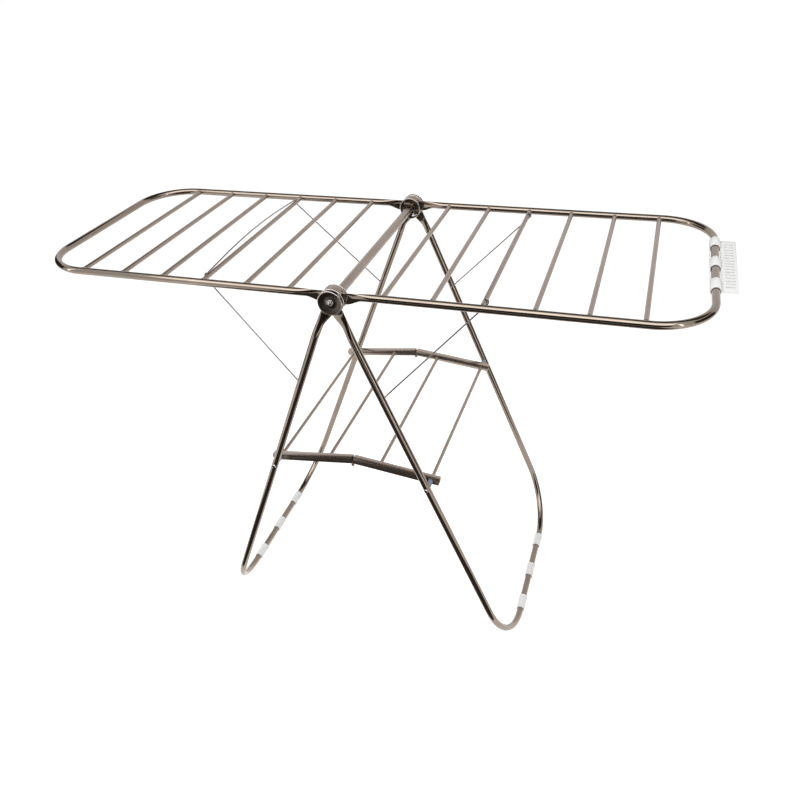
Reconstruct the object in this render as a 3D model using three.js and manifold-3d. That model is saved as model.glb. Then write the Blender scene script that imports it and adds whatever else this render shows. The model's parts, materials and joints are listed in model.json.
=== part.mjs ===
// A folding clothes drying rack in polished steel tube: two long wings and two U-shaped leg frames
// that all turn on one hub line, a folding shelf between the legs, and a wire stay under each wing.
// Millimetres, +Z up. X runs along the wings, Y along the rungs, and the floor is z = 0.
import * as THREE from 'three';
import { mergeVertices } from 'three/addons/utils/BufferGeometryUtils.js';
import Module from 'manifold-3d';

const wasm = await Module();
wasm.setup();

// ---- driving dimensions -------------------------------------------------------------------------
const FIT_GAP = 0.3; // clearance between neighbouring pieces

const WING_REACH = 707; // hub line to the centre line of a wing's end bar
const WING_HALF_WIDTH = 260; // middle of the rack to a wing rail's centre line
const WING_CORNER_RADIUS = 110;
const FIRST_RUNG = 100; // hub line to the nearest rung
const RUNG_PITCH = 98;
const RUNG_COUNT = 6; // on each wing
const RUNG_RADIUS = 5;

const LEG_LENGTH = 983; // hub line to the base bar, along the leg
const LEG_HALF_WIDTH = 282.7; // middle of the rack to a leg tube's centre line
const LEG_CORNER_RADIUS = 140;
const LEG_SPREAD_DEG = 22; // each leg frame from the vertical

const TUBE_RADIUS = 8; // wing and leg tubes
const TUBE_OFFSET = 8; // centre line of a tube beside the hub line, on the outer side
const TAB_THICKNESS = 3; // a tube end pressed flat
const TAB_WIDTH = 24.5;
const TAB_END_PLAY = 5.52; // tab's end short of the drum's wall, along the tab's outer edge
const TAB_PAST_DRUM = 3; // length of flat that shows outside the drum
const FLARE_END = 60; // hub line to where the flare has gone
const SWELL_START = 30; // hub line to where the flat starts to thicken
const SWELL_END = 85; // hub line to where the tube is fully round
const JOG_RADIUS = 30; // bend at each end of the sideways step from flat to rail
const TAB_PLAY = 0.45; // between two tabs that turn on each other

const PIN_RADIUS = 3; // the rivet through each hub
const PIN_HEAD_RADIUS = 4.5;
const PIN_HEAD_HEIGHT = 2.6;
const DRUM_RADIUS = 25;
const DRUM_WALL = 2;
const DRUM_LENGTH = 36;
const CAP_THICKNESS = 1.8;
const CAP_RECESS = 3; // cap face behind the drum's rim
const CAP_TO_RACK_MIDDLE = 281; // outer face of a drum's cap
const SPACER_RADIUS = 10;
const SPACER_LENGTH = 6.5;
const WINDOW_MARGIN_DEG = 4; // free angle past a tab at each end of its swing
const WINDOW_PLAY = 0.5; // each side of the flats along the drum

const CENTRE_TUBE_RADIUS = 9.5;
const CENTRE_TUBE_WALL = 1.2;
const CENTRE_PLUG_LENGTH = 10;

const STAY_RUNG = 3; // the rung that carries the stay, counted from the hub
const STAY_WIRE_RADIUS = 1.6;
const STAY_EYE_Y = 228; // middle of the rack to each eye
const STAY_HOOK_ON_LEG = 234; // hub line to the hook, along the leg
const STAY_HOOK_LENGTH = 12;
const STAY_BEND_RADIUS = 7;
const STAY_ARCH_RISE = 17; // top of the stay's base above the rung's centre line
const STAY_ARCH_LEAN = 3;

const SHELF_PIVOT_ON_LEG = 467.5; // hub line to the shelf's pivot, along the leg
const SHELF_RISE_DEG = 7; // each shelf half rises to the middle by this much
const CHANNEL_SIZE = 15; // square section
const CHANNEL_WALL = 1.5;
const CHANNEL_Y = 247.5; // middle of the rack to a channel's centre line
const CHANNEL_TAIL = 19; // channel past its pivot
const SHELF_RUNG_RADIUS = 4;
const INNER_RUNG_SHARE = 2 / 3; // place of the inner rung between pivot and middle hinge
const HINGE_PIN_RADIUS = 2;
const HINGE_PIN_DROP = 10; // hinge pin under the channel's centre line
const HINGE_HEAD_RADIUS = 3.2;
const HINGE_HEAD_HEIGHT = 1.2;
const KNUCKLE_RADIUS = 3.6;
const PIVOT_RIVET_RADIUS = 2.5;
const PIVOT_HEAD_RADIUS = 5;
const PIVOT_HEAD_HEIGHT = 2.2;
const BUSH_RADIUS = 5.5;
const BUSH_SPIGOT = 3;

const FOOT_RADIUS = 10.5; // base bar's centre line to the floor
const FOOT_FLATS = 16; // flats round a sleeve, one of them on the floor
const FOOT_LENGTH = 44;
const FOOT_PITCH = 119;
const FEET_PER_LEG = 3;
const FOOT_LIP = 1; // chamfer at a sleeve's ends

const COMB_LENGTH = 250;
const COMB_CENTRE_Y = 22;
const COMB_REACH = 41.5; // end bar's centre line to the comb's outer edge
const COMB_THICKNESS = 2.4;
const COMB_RING_LENGTH = 43;
const COMB_RING_WALL = 2.3;
const COMB_RING_COUNT = 3;
const COMB_RING_OPENING = 9; // width of the snap-on mouth under each ring
const COMB_SLOT_COUNT = 16;
const COMB_SLOT_PITCH = 13.8;
const COMB_SLOT_WIDTH = 4.2;
const COMB_SLOT_LENGTH = 17;
const COMB_SLOT_FROM_EDGE = 6.5;
const COMB_LIP_THICKNESS = 1.4;
const COMB_LIP_HEIGHT = 4;

const TUBE_SIDES = 12;
const KNUCKLE_SIDES = 16;
const BEND_STEPS = 8;
const WIRE_SIDES = 6;
const EYE_STEPS = 14;
const ARCH_STEPS = 10;
const LATHE_STEPS = 16;
const DRUM_STEPS = 28;

// ---- derived sizes ------------------------------------------------------------------------------
const rad = THREE.MathUtils.degToRad;
const legAngle = rad(90 - LEG_SPREAD_DEG); // below the horizontal
const legAlong = new THREE.Vector3(Math.cos(legAngle), 0, -Math.sin(legAngle));
const legOutward = new THREE.Vector3(Math.sin(legAngle), 0, Math.cos(legAngle));
const onLeg = (distance) => legAlong.clone().multiplyScalar(distance)
  .addScaledVector(legOutward, TUBE_OFFSET);
const hubHeight = FOOT_RADIUS - onLeg(LEG_LENGTH).z;

const pinClearRadius = PIN_RADIUS + FIT_GAP;
const capInnerFace = CAP_TO_RACK_MIDDLE - CAP_THICKNESS;
const halfTab = TAB_THICKNESS / 2;
const tabFlat = DRUM_RADIUS + TAB_PAST_DRUM;
const drumBore = DRUM_RADIUS - DRUM_WALL;
const tabOverhang = Math.sqrt(drumBore ** 2 - (TUBE_OFFSET + TUBE_RADIUS) ** 2) - TAB_END_PLAY;
const rightLegTab = capInnerFace - FIT_GAP - halfTab;
const spacerOuterEnd = rightLegTab - halfTab - FIT_GAP;
const spacerInnerEnd = spacerOuterEnd - SPACER_LENGTH;
const leftLegTab = spacerInnerEnd - FIT_GAP - halfTab;
const rightWingTab = leftLegTab - TAB_THICKNESS - TAB_PLAY;
const leftWingTab = rightWingTab - TAB_THICKNESS - TAB_PLAY;
const centreTubeEnd = leftWingTab - halfTab - FIT_GAP;
const drumOuterEnd = CAP_TO_RACK_MIDDLE + CAP_RECESS;
const drumInnerEnd = drumOuterEnd - DRUM_LENGTH;

const shelfPivot = onLeg(SHELF_PIVOT_ON_LEG);
const shelfRise = rad(SHELF_RISE_DEG);
const pivotToHinge = (shelfPivot.x - HINGE_PIN_DROP * Math.sin(shelfRise)) / Math.cos(shelfRise);
const channelReach = (shelfPivot.x - CHANNEL_SIZE / 2 * Math.sin(shelfRise) - FIT_GAP / 2)
  / Math.cos(shelfRise);
const channelInner = CHANNEL_Y - CHANNEL_SIZE / 2;
const channelOuter = CHANNEL_Y + CHANNEL_SIZE / 2;
const legInnerFace = LEG_HALF_WIDTH - TUBE_RADIUS;
const legOuterFace = LEG_HALF_WIDTH + TUBE_RADIUS;
const pivotHoleRadius = PIVOT_RIVET_RADIUS + FIT_GAP;

// The comb stands out on one side only, so the hub line sits this far from the middle of the rack.
const hubX = -(COMB_REACH - TUBE_RADIUS) / 2;

// ---- materials ----------------------------------------------------------------------------------
const finish = (color, roughness, metalness) =>
  () => new THREE.MeshStandardMaterial({ color, roughness, metalness });
const polishedSteel = finish(0x9a8f84, 0.22, 1);
const satinSteel = finish(0xb3a598, 0.38, 1);
const darkSteel = finish(0x3a332f, 0.35, 1);
const brightSteel = finish(0xd0cac4, 0.18, 1);
const whitePlastic = finish(0xf1f0ee, 0.4, 0);
const greyPlastic = finish(0x8f93a6, 0.45, 0);

// ---- solids -------------------------------------------------------------------------------------
const toSolid = (geometry) => {
  const bare = geometry.clone();
  bare.deleteAttribute('normal');
  bare.deleteAttribute('uv');
  const merged = mergeVertices(bare, 1e-4);
  return new wasm.Manifold(new wasm.Mesh({
    numProp: 3,
    vertProperties: new Float32Array(merged.attributes.position.array),
    triVerts: new Uint32Array(merged.index.array),
  }));
};

const fromSolid = (solid) => {
  const mesh = solid.getMesh();
  const geometry = new THREE.BufferGeometry();
  geometry.setAttribute('position', new THREE.BufferAttribute(mesh.vertProperties, 3));
  geometry.setIndex(new THREE.BufferAttribute(mesh.triVerts, 1));
  geometry.computeVertexNormals();
  return geometry;
};

const combine = (base, added, cut) => {
  let solid = toSolid(base);
  added.forEach((piece) => { solid = solid.add(toSolid(piece)); });
  cut.forEach((piece) => { solid = solid.subtract(toSolid(piece)); });
  return fromSolid(solid);
};

// A round bar along Y between two stations, at (x, z).
const rodAlongY = (radius, from, to, x = 0, z = 0, sides = LATHE_STEPS) =>
  new THREE.CylinderGeometry(radius, radius, to - from, sides).translate(x, (from + to) / 2, z);

const boxBetween = (low, high) => new THREE.BoxGeometry(
  high[0] - low[0],
  high[1] - low[1],
  high[2] - low[2],
).translate((low[0] + high[0]) / 2, (low[1] + high[1]) / 2, (low[2] + high[2]) / 2);

// A turned piece about the Y axis, from [radius, y] points that start and end on the axis or close.
const turned = (profile, steps = LATHE_STEPS) =>
  new THREE.LatheGeometry(profile.map(([r, y]) => new THREE.Vector2(r, y)), steps);

// A ring about the Y axis.
const ring = (inner, outer, from, to, steps = LATHE_STEPS) =>
  turned([[inner, from], [outer, from], [outer, to], [inner, to], [inner, from]], steps);

// A path through given stations, each with its own direction, one station for each step.
class StationPath extends THREE.Curve {
  constructor(stations) {
    super();
    this.stations = stations;
  }

  getPointAt(u) {
    return this.stations[Math.round(u * (this.stations.length - 1))].point.clone();
  }

  getTangentAt(u) {
    return this.stations[Math.round(u * (this.stations.length - 1))].tangent.clone();
  }
}

// Stations along straight runs joined by round bends, as a bending machine makes them.
const bentStations = (points, radii, steps) => {
  const direction = (i) => points[i + 1].clone().sub(points[i]).normalize();
  const stations = [{ point: points[0], tangent: direction(0) }];
  for (let i = 1; i < points.length - 1; i += 1) {
    const before = direction(i - 1);
    const after = direction(i);
    const turn = before.angleTo(after);
    const radius = radii[i - 1];
    const start = points[i].clone().addScaledVector(before, -radius * Math.tan(turn / 2));
    const inward = after.clone().addScaledVector(before, -after.dot(before)).normalize();
    for (let k = 0; k <= steps[i - 1]; k += 1) {
      const a = turn * k / steps[i - 1];
      stations.push({
        point: start.clone().addScaledVector(before, radius * Math.sin(a))
          .addScaledVector(inward, radius * (1 - Math.cos(a))),
        tangent: before.clone().multiplyScalar(Math.cos(a)).addScaledVector(inward, Math.sin(a)),
      });
    }
  }
  stations.push({ point: points[points.length - 1], tangent: direction(points.length - 2) });
  return stations;
};

const tubeAlong = (stations, radius, sides) => {
  const section = new THREE.Shape(Array.from({ length: sides }, (_, i) => {
    const a = 2 * Math.PI * i / sides;
    return new THREE.Vector2(radius * Math.cos(a), radius * Math.sin(a));
  }));
  return new THREE.ExtrudeGeometry(section, {
    steps: stations.length - 1,
    extrudePath: new StationPath(stations),
  });
};

// ---- wing and leg frames ------------------------------------------------------------------------
// A U of round tube in the plane z = TUBE_OFFSET, open towards the hub line. Both ends are pressed
// flat: the outer edge stays straight, the inner edge flares past the hub line, and a pin hole is
// punched through the flat.
const pressedFrame = ({ reach, halfWidth, cornerRadius, tabY }) => {
  const at = (x, y) => new THREE.Vector3(x, y, TUBE_OFFSET);
  const joggedEnd = (side) => [
    at(-tabOverhang, side * tabY),
    at(tabFlat, side * tabY),
    at(SWELL_END, side * halfWidth),
  ];
  const points = [
    ...joggedEnd(-1),
    at(reach, -halfWidth),
    at(reach, halfWidth),
    ...joggedEnd(1).reverse(),
  ];
  const stations = bentStations(
    points,
    [JOG_RADIUS, JOG_RADIUS, cornerRadius, cornerRadius, JOG_RADIUS, JOG_RADIUS],
    [2, 2, BEND_STEPS, BEND_STEPS, 2, 2],
  );
  const extraStations = [0.15, 0.35, 0.55, 0.75]
    .map((share) => tabFlat + share * (SWELL_END - tabFlat));
  const refined = [];
  stations.forEach((station, i) => {
    if (i > 0) {
      const previous = refined[refined.length - 1];
      const between = extraStations
        .filter((x) => (x - previous.point.x) * (x - station.point.x) < 0)
        .sort((a, b) => (a - b) * Math.sign(station.point.x - previous.point.x));
      between.forEach((x) => {
        const share = (x - previous.point.x) / (station.point.x - previous.point.x);
        const from = previous.point;
        refined.push({
          point: from.clone().lerp(station.point, share),
          tangent: station.point.clone().sub(from).normalize(),
        });
      });
    }
    refined.push(station);
  });
  const geometry = tubeAlong(refined, TUBE_RADIUS, TUBE_SIDES);

  const centreY = (x) => {
    const share = THREE.MathUtils.clamp((x - tabFlat) / (SWELL_END - tabFlat), 0, 1);
    return THREE.MathUtils.lerp(tabY, halfWidth, share);
  };
  const topEdge = TUBE_OFFSET + TUBE_RADIUS;
  const position = geometry.attributes.position;
  for (let i = 0; i < position.count; i += 1) {
    const x = position.getX(i);
    if (x < SWELL_END) {
      const thickening = THREE.MathUtils.smoothstep(x, SWELL_START, SWELL_END);
      const narrowing = THREE.MathUtils.smoothstep(x, tabFlat, FLARE_END);
      const thin = THREE.MathUtils.lerp(TAB_THICKNESS / (2 * TUBE_RADIUS), 1, thickening);
      const wide = THREE.MathUtils.lerp(TAB_WIDTH / (2 * TUBE_RADIUS), 1, narrowing);
      const side = Math.sign(position.getY(i));
      const middle = side * centreY(x);
      position.setY(i, middle + (position.getY(i) - middle) * thin);
      position.setZ(i, topEdge + (position.getZ(i) - topEdge) * wide);
    }
  }
  const punchEnd = halfWidth + TUBE_RADIUS;
  return { geometry, punch: rodAlongY(pinClearRadius, -punchEnd, punchEnd) };
};

const wingFrame = (tabY) => {
  const { geometry, punch } = pressedFrame({
    reach: WING_REACH,
    halfWidth: WING_HALF_WIDTH,
    cornerRadius: WING_CORNER_RADIUS,
    tabY,
  });
  return combine(geometry, [], [punch]);
};

const legFrame = (tabY) => {
  const { geometry, punch } = pressedFrame({
    reach: LEG_LENGTH,
    halfWidth: LEG_HALF_WIDTH,
    cornerRadius: LEG_CORNER_RADIUS,
    tabY,
  });
  const pivotHole = rodAlongY(
    pivotHoleRadius,
    -legOuterFace,
    legOuterFace,
    SHELF_PIVOT_ON_LEG,
    TUBE_OFFSET,
  );
  return combine(geometry, [], [punch, pivotHole]);
};

// ---- assembly helpers ---------------------------------------------------------------------------
const rack = new THREE.Group();
const hub = new THREE.Group();
hub.position.set(hubX, 0, hubHeight);
rack.add(hub);

const place = (parent, name, geometry, material, position = [0, 0, 0]) => {
  const mesh = new THREE.Mesh(geometry, material());
  mesh.name = name;
  mesh.position.set(...position);
  parent.add(mesh);
  return mesh;
};

// The two sides of the rack, and the two ends of each rung. The right side is built as drawn, and
// the left side is the same turned half round about the vertical.
const SIDES = [
  { name: 'left', turn: Math.PI, wingTab: leftWingTab, legTab: leftLegTab },
  { name: 'right', turn: 0, wingTab: rightWingTab, legTab: rightLegTab },
];
const ENDS = [{ name: 'front', side: -1 }, { name: 'back', side: 1 }];
const endName = (side, end) => {
  const turnedSide = side.turn === 0 ? end.side : -end.side;
  return turnedSide < 0 ? 'front' : 'back';
};

// ---- hub ----------------------------------------------------------------------------------------
const plugStart = centreTubeEnd - CENTRE_PLUG_LENGTH;
const centreBore = CENTRE_TUBE_RADIUS - CENTRE_TUBE_WALL;
place(hub, 'centre_tube', turned([
  [pinClearRadius, -centreTubeEnd],
  [CENTRE_TUBE_RADIUS, -centreTubeEnd],
  [CENTRE_TUBE_RADIUS, centreTubeEnd],
  [pinClearRadius, centreTubeEnd],
  [pinClearRadius, plugStart],
  [centreBore, plugStart - CENTRE_TUBE_WALL],
  [centreBore, -plugStart + CENTRE_TUBE_WALL],
  [pinClearRadius, -plugStart],
  [pinClearRadius, -centreTubeEnd],
]), satinSteel);

// A window in the drum's wall, from one angle to another, both measured from +X towards +Z.
const drumWindow = (fromDeg, toDeg, from, to) => {
  const reach = DRUM_RADIUS * 1.5;
  const steps = Math.ceil((toDeg - fromDeg) / 20);
  const outline = [new THREE.Vector2(0, 0)];
  for (let i = 0; i <= steps; i += 1) {
    const a = rad(fromDeg + (toDeg - fromDeg) * i / steps);
    outline.push(new THREE.Vector2(reach * Math.cos(a), reach * Math.sin(a)));
  }
  return new THREE.ExtrudeGeometry(new THREE.Shape(outline), { depth: to - from, bevelEnabled: false })
    .rotateX(Math.PI / 2).translate(0, to, 0);
};

const tabTopDeg = THREE.MathUtils.radToDeg(Math.asin((TUBE_OFFSET + TUBE_RADIUS) / drumBore));
const wingWindowTop = tabTopDeg + WINDOW_MARGIN_DEG;
const legWindowTop = tabTopDeg + LEG_SPREAD_DEG - 90 + WINDOW_MARGIN_DEG;
const tabZoneMargin = halfTab + WINDOW_PLAY;

ENDS.forEach(({ name, side }) => {
  const facing = (geometry) => (side > 0 ? geometry : geometry.rotateZ(Math.PI));
  const barrel = ring(drumBore, DRUM_RADIUS, drumInnerEnd, drumOuterEnd, DRUM_STEPS);
  const windows = [
    drumWindow(-180 - wingWindowTop, wingWindowTop, leftWingTab - tabZoneMargin,
      rightWingTab + tabZoneMargin),
    drumWindow(-180 - legWindowTop, legWindowTop, leftLegTab - tabZoneMargin,
      rightLegTab + tabZoneMargin),
  ];
  place(hub, `hub_drum_${name}`, facing(combine(barrel, [], windows)), brightSteel);

  const capRadius = drumBore - FIT_GAP;
  place(hub, `hub_cap_${name}`, facing(
    ring(pinClearRadius, capRadius, capInnerFace, CAP_TO_RACK_MIDDLE, DRUM_STEPS),
  ), darkSteel);

  place(hub, `hub_spacer_${name}`, facing(
    ring(pinClearRadius, SPACER_RADIUS, spacerInnerEnd, spacerOuterEnd),
  ), darkSteel);

  const headStart = CAP_TO_RACK_MIDDLE + FIT_GAP;
  place(hub, `hub_pin_${name}`, facing(turned([
    [0, plugStart],
    [PIN_RADIUS, plugStart],
    [PIN_RADIUS, headStart],
    [PIN_HEAD_RADIUS, headStart],
    [PIN_HEAD_RADIUS * 0.85, headStart + PIN_HEAD_HEIGHT * 0.6],
    [0, headStart + PIN_HEAD_HEIGHT],
  ])), brightSteel);
});

// ---- wings --------------------------------------------------------------------------------------
const rungLength = 2 * (WING_HALF_WIDTH - TUBE_RADIUS - FIT_GAP);
const stayRungX = FIRST_RUNG + (STAY_RUNG - 1) * RUNG_PITCH;

SIDES.forEach((side) => {
  const wing = new THREE.Group();
  wing.rotation.z = side.turn;
  hub.add(wing);
  place(wing, `wing_frame_${side.name}`, wingFrame(side.wingTab), polishedSteel);
  for (let i = 0; i < RUNG_COUNT; i += 1) {
    const rung = new THREE.CylinderGeometry(RUNG_RADIUS, RUNG_RADIUS, rungLength, TUBE_SIDES);
    place(wing, `wing_rung_${side.name}_${i + 1}`, rung, satinSteel, [
      FIRST_RUNG + i * RUNG_PITCH,
      0,
      TUBE_OFFSET,
    ]);
  }
});

// ---- stays --------------------------------------------------------------------------------------
// One wire for each wing. An eye round the third rung near each rail carries it. Between the eyes
// the wire arches over the rung, and from each eye an arm runs down to a hook in the leg tube.
const eyeRadius = RUNG_RADIUS + FIT_GAP + STAY_WIRE_RADIUS;
const stayWire = () => {
  const rung = new THREE.Vector3(stayRungX, 0, TUBE_OFFSET);
  const hook = onLeg(STAY_HOOK_ON_LEG);
  const down = hook.clone().sub(rung).normalize();
  const tangentPoint = new THREE.Vector3(-down.z, 0, down.x).multiplyScalar(eyeRadius).add(rung);
  const hookTip = legInnerFace - FIT_GAP;
  const arms = [-1, 1].map((end) => {
    const stations = bentStations([
      new THREE.Vector3(tangentPoint.x, end * STAY_EYE_Y, tangentPoint.z),
      new THREE.Vector3(hook.x, end * (hookTip - STAY_HOOK_LENGTH), hook.z),
      new THREE.Vector3(hook.x, end * hookTip, hook.z),
    ], [STAY_BEND_RADIUS], [4]);
    return tubeAlong(stations, STAY_WIRE_RADIUS, WIRE_SIDES);
  });
  const eye = new THREE.TorusGeometry(eyeRadius, STAY_WIRE_RADIUS, WIRE_SIDES, EYE_STEPS)
    .rotateX(Math.PI / 2);
  const eyes = [-1, 1].map((end) => eye.clone().translate(rung.x, end * STAY_EYE_Y, rung.z));
  const archStations = [];
  for (let i = 0; i <= ARCH_STEPS; i += 1) {
    const y = STAY_EYE_Y * (2 * i / ARCH_STEPS - 1);
    const swell = Math.cos(Math.PI * y / (2 * STAY_EYE_Y));
    const slope = -Math.PI / (2 * STAY_EYE_Y) * Math.sin(Math.PI * y / (2 * STAY_EYE_Y));
    const rise = STAY_ARCH_RISE - eyeRadius;
    archStations.push({
      point: new THREE.Vector3(rung.x + STAY_ARCH_LEAN * swell, y, rung.z + eyeRadius + rise * swell),
      tangent: new THREE.Vector3(STAY_ARCH_LEAN * slope, 1, rise * slope).normalize(),
    });
  }
  const arch = tubeAlong(archStations, STAY_WIRE_RADIUS, WIRE_SIDES);
  return combine(arch, [...eyes, ...arms], []);
};

SIDES.forEach((side) => {
  const stay = place(hub, `stay_${side.name}`, stayWire(), brightSteel);
  stay.rotation.z = side.turn;
});

// ---- legs ---------------------------------------------------------------------------------------
// A sleeve with sixteen flats, one of them level with the floor.
const footSleeve = () => {
  const bore = TUBE_RADIUS + FIT_GAP;
  const corner = FOOT_RADIUS / Math.cos(Math.PI / FOOT_FLATS);
  const half = FOOT_LENGTH / 2;
  return turned([
    [bore, -half],
    [corner - FOOT_LIP, -half],
    [corner, -half + FOOT_LIP],
    [corner, half - FOOT_LIP],
    [corner - FOOT_LIP, half],
    [bore, half],
    [bore, -half],
  ], FOOT_FLATS).rotateY(Math.PI / FOOT_FLATS);
};

const pivotRivet = () => turned([
  [0, legInnerFace + FIT_GAP],
  [PIVOT_RIVET_RADIUS, legInnerFace + FIT_GAP],
  [PIVOT_RIVET_RADIUS, legOuterFace + FIT_GAP],
  [PIVOT_HEAD_RADIUS, legOuterFace + FIT_GAP],
  [PIVOT_HEAD_RADIUS * 0.8, legOuterFace + FIT_GAP + PIVOT_HEAD_HEIGHT * 0.6],
  [0, legOuterFace + FIT_GAP + PIVOT_HEAD_HEIGHT],
]);

SIDES.forEach((side) => {
  const sideGroup = new THREE.Group();
  sideGroup.rotation.z = side.turn;
  hub.add(sideGroup);
  const leg = new THREE.Group();
  leg.rotation.y = legAngle;
  sideGroup.add(leg);
  place(leg, `leg_frame_${side.name}`, legFrame(side.legTab), polishedSteel);

  const base = onLeg(LEG_LENGTH);
  for (let i = 0; i < FEET_PER_LEG; i += 1) {
    const y = (i - (FEET_PER_LEG - 1) / 2) * FOOT_PITCH;
    place(sideGroup, `foot_sleeve_${side.name}_${i + 1}`, footSleeve(), whitePlastic,
      [base.x, y, base.z]);
  }
  ENDS.forEach((end) => {
    const geometry = end.side > 0 ? pivotRivet() : pivotRivet().rotateZ(Math.PI);
    place(sideGroup, `shelf_rivet_${side.name}_${endName(side, end)}`, geometry, brightSteel,
      shelfPivot.toArray());
  });
});

// ---- shelf --------------------------------------------------------------------------------------
// In a shelf half's own group, x runs from its pivot on the leg to the middle hinge, and z is up.
const knuckleY = [CHANNEL_SIZE / 6, CHANNEL_SIZE / 2];

// The hinge's knuckles: the left half has the two outer thirds, the right half the middle third.
const knuckleSpans = (isLeft) => (isLeft
  ? [[-knuckleY[1], -knuckleY[0] - FIT_GAP / 2], [knuckleY[0] + FIT_GAP / 2, knuckleY[1]]]
  : [[-knuckleY[0] + FIT_GAP / 2, knuckleY[0] - FIT_GAP / 2]]);

const shelfChannel = (isLeft) => {
  const half = CHANNEL_SIZE / 2;
  const hollow = half - CHANNEL_WALL;
  const length = CHANNEL_TAIL + channelReach;
  const bar = boxBetween([-CHANNEL_TAIL, -half, -half], [channelReach, half, half]);
  const inside = boxBetween(
    [-CHANNEL_TAIL - length, -hollow, -hollow],
    [channelReach + length, hollow, hollow],
  );
  const tube = combine(bar, [], [inside]);
  const knuckle = ([from, to], radius) =>
    rodAlongY(radius, from, to, pivotToHinge, -HINGE_PIN_DROP, KNUCKLE_SIDES);
  const own = knuckleSpans(isLeft).map((span) => knuckle(span, KNUCKLE_RADIUS));
  const relief = knuckleSpans(!isLeft).map(([from, to]) =>
    knuckle([from - FIT_GAP, to + FIT_GAP], KNUCKLE_RADIUS + FIT_GAP));
  const pinHole = knuckle([-CHANNEL_SIZE, CHANNEL_SIZE], HINGE_PIN_RADIUS + FIT_GAP);
  const spigotHole = rodAlongY(pivotHoleRadius, 0, CHANNEL_SIZE);
  return { tube, own, relief, pinHole, spigotHole };
};

const buildChannel = (isLeft, outward) => {
  const { tube, own, relief, pinHole, spigotHole } = shelfChannel(isLeft);
  const sideHole = outward > 0 ? spigotHole : spigotHole.rotateZ(Math.PI);
  const trimmed = combine(tube, [], relief);
  return combine(trimmed, own, [pinHole, sideHole]);
};

const hingePin = () => {
  const half = CHANNEL_SIZE / 2 + FIT_GAP;
  return turned([
    [0, -half - HINGE_HEAD_HEIGHT],
    [HINGE_HEAD_RADIUS, -half - HINGE_HEAD_HEIGHT],
    [HINGE_HEAD_RADIUS, -half],
    [HINGE_PIN_RADIUS, -half],
    [HINGE_PIN_RADIUS, half],
    [HINGE_HEAD_RADIUS, half],
    [HINGE_HEAD_RADIUS, half + HINGE_HEAD_HEIGHT],
    [0, half + HINGE_HEAD_HEIGHT],
  ], 16);
};

const pivotBush = () => turned([
  [0, channelOuter + FIT_GAP - BUSH_SPIGOT],
  [PIVOT_RIVET_RADIUS, channelOuter + FIT_GAP - BUSH_SPIGOT],
  [PIVOT_RIVET_RADIUS, channelOuter + FIT_GAP],
  [BUSH_RADIUS, channelOuter + FIT_GAP],
  [BUSH_RADIUS, legInnerFace - FIT_GAP],
  [0, legInnerFace - FIT_GAP],
]);

const shelfRungHalf = channelInner - FIT_GAP;

SIDES.forEach((side) => {
  const isLeft = side.name === 'left';
  const sideGroup = new THREE.Group();
  sideGroup.rotation.z = side.turn;
  hub.add(sideGroup);
  const half = new THREE.Group();
  half.position.copy(shelfPivot);
  half.rotation.set(0, shelfRise, Math.PI);
  sideGroup.add(half);

  ENDS.forEach((end) => {
    const whole = endName(side, { side: -end.side });
    place(half, `shelf_channel_${side.name}_${whole}`, buildChannel(isLeft, end.side), satinSteel,
      [0, end.side * CHANNEL_Y, 0]);
    const bush = end.side > 0 ? pivotBush() : pivotBush().rotateZ(Math.PI);
    place(half, `shelf_bush_${side.name}_${whole}`, bush, greyPlastic);
    if (isLeft) {
      place(half, `shelf_hinge_pin_${whole}`, hingePin(), brightSteel,
        [pivotToHinge, end.side * CHANNEL_Y, -HINGE_PIN_DROP]);
    }
  });
  [['outer', 0], ['inner', INNER_RUNG_SHARE * pivotToHinge]].forEach(([name, x]) => {
    const rung = new THREE.CylinderGeometry(SHELF_RUNG_RADIUS, SHELF_RUNG_RADIUS, 2 * shelfRungHalf,
      TUBE_SIDES);
    place(half, `shelf_rung_${side.name}_${name}`, rung, satinSteel, [x, 0, 0]);
  });
});

// ---- comb ---------------------------------------------------------------------------------------
// Three snap-on rings round the right wing's end bar carry a slotted plate for hangers, and a thin
// lip joins the rings on the inner side.
const combSolid = () => {
  const ringInner = TUBE_RADIUS + FIT_GAP;
  const ringOuter = ringInner + COMB_RING_WALL;
  const half = COMB_LENGTH / 2;
  const plateStart = ringInner + COMB_RING_WALL / 2;
  const plate = boxBetween(
    [plateStart, -half, -COMB_THICKNESS / 2],
    [COMB_REACH, half, COMB_THICKNESS / 2],
  );
  const lip = boxBetween(
    [-ringOuter - COMB_LIP_THICKNESS / 2, -half, -COMB_LIP_HEIGHT / 2],
    [-ringOuter + COMB_LIP_THICKNESS, half, COMB_LIP_HEIGHT / 2],
  );
  const ringPitch = (COMB_LENGTH - COMB_RING_LENGTH) / (COMB_RING_COUNT - 1);
  const rings = [];
  for (let i = 0; i < COMB_RING_COUNT; i += 1) {
    const y = -half + i * ringPitch;
    rings.push(ring(ringInner, ringOuter, y, y + COMB_RING_LENGTH));
  }
  const mouth = boxBetween(
    [-COMB_RING_OPENING / 2, -COMB_LENGTH, -2 * ringOuter],
    [COMB_RING_OPENING / 2, COMB_LENGTH, 0],
  );
  const slots = [];
  for (let i = 0; i < COMB_SLOT_COUNT; i += 1) {
    const y = (i - (COMB_SLOT_COUNT - 1) / 2) * COMB_SLOT_PITCH;
    slots.push(boxBetween(
      [COMB_REACH - COMB_SLOT_FROM_EDGE - COMB_SLOT_LENGTH, y - COMB_SLOT_WIDTH / 2, -COMB_THICKNESS],
      [COMB_REACH - COMB_SLOT_FROM_EDGE, y + COMB_SLOT_WIDTH / 2, COMB_THICKNESS],
    ));
  }
  return combine(plate, [lip, ...rings], [...slots, mouth]);
};

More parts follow.
